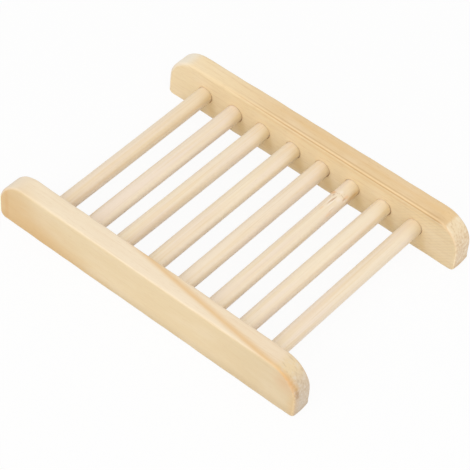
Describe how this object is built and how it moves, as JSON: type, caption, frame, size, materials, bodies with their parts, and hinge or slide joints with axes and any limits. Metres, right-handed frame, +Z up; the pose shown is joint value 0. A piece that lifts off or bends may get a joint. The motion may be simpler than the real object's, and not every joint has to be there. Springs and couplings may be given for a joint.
{
  "type": "soap dish",
  "caption": "Slatted wooden soap dish: two side rails with rounded upper corners carry a row of round dowels, so a bar of soap lies clear of the counter and drains.",
  "frame": {"origin": "bottom centre, on the surface that both rails stand on", "axes": "+X along the rails, +Y along the dowels from the front rail to the back rail, +Z up"},
  "size_m": [0.12, 0.087, 0.0175],
  "materials": {
    "rail_wood": "sanded pale softwood, unvarnished",
    "dowel_wood": "round bamboo stick, smooth and unvarnished"
  },
  "bodies": {
    "root": {"front_rail": "rail_wood", "back_rail": "rail_wood", "dowel_1": "dowel_wood", "dowel_2": "dowel_wood", "dowel_3": "dowel_wood", "dowel_4": "dowel_wood", "dowel_5": "dowel_wood", "dowel_6": "dowel_wood", "dowel_7": "dowel_wood", "dowel_8": "dowel_wood"}
  },
  "joints": []
}
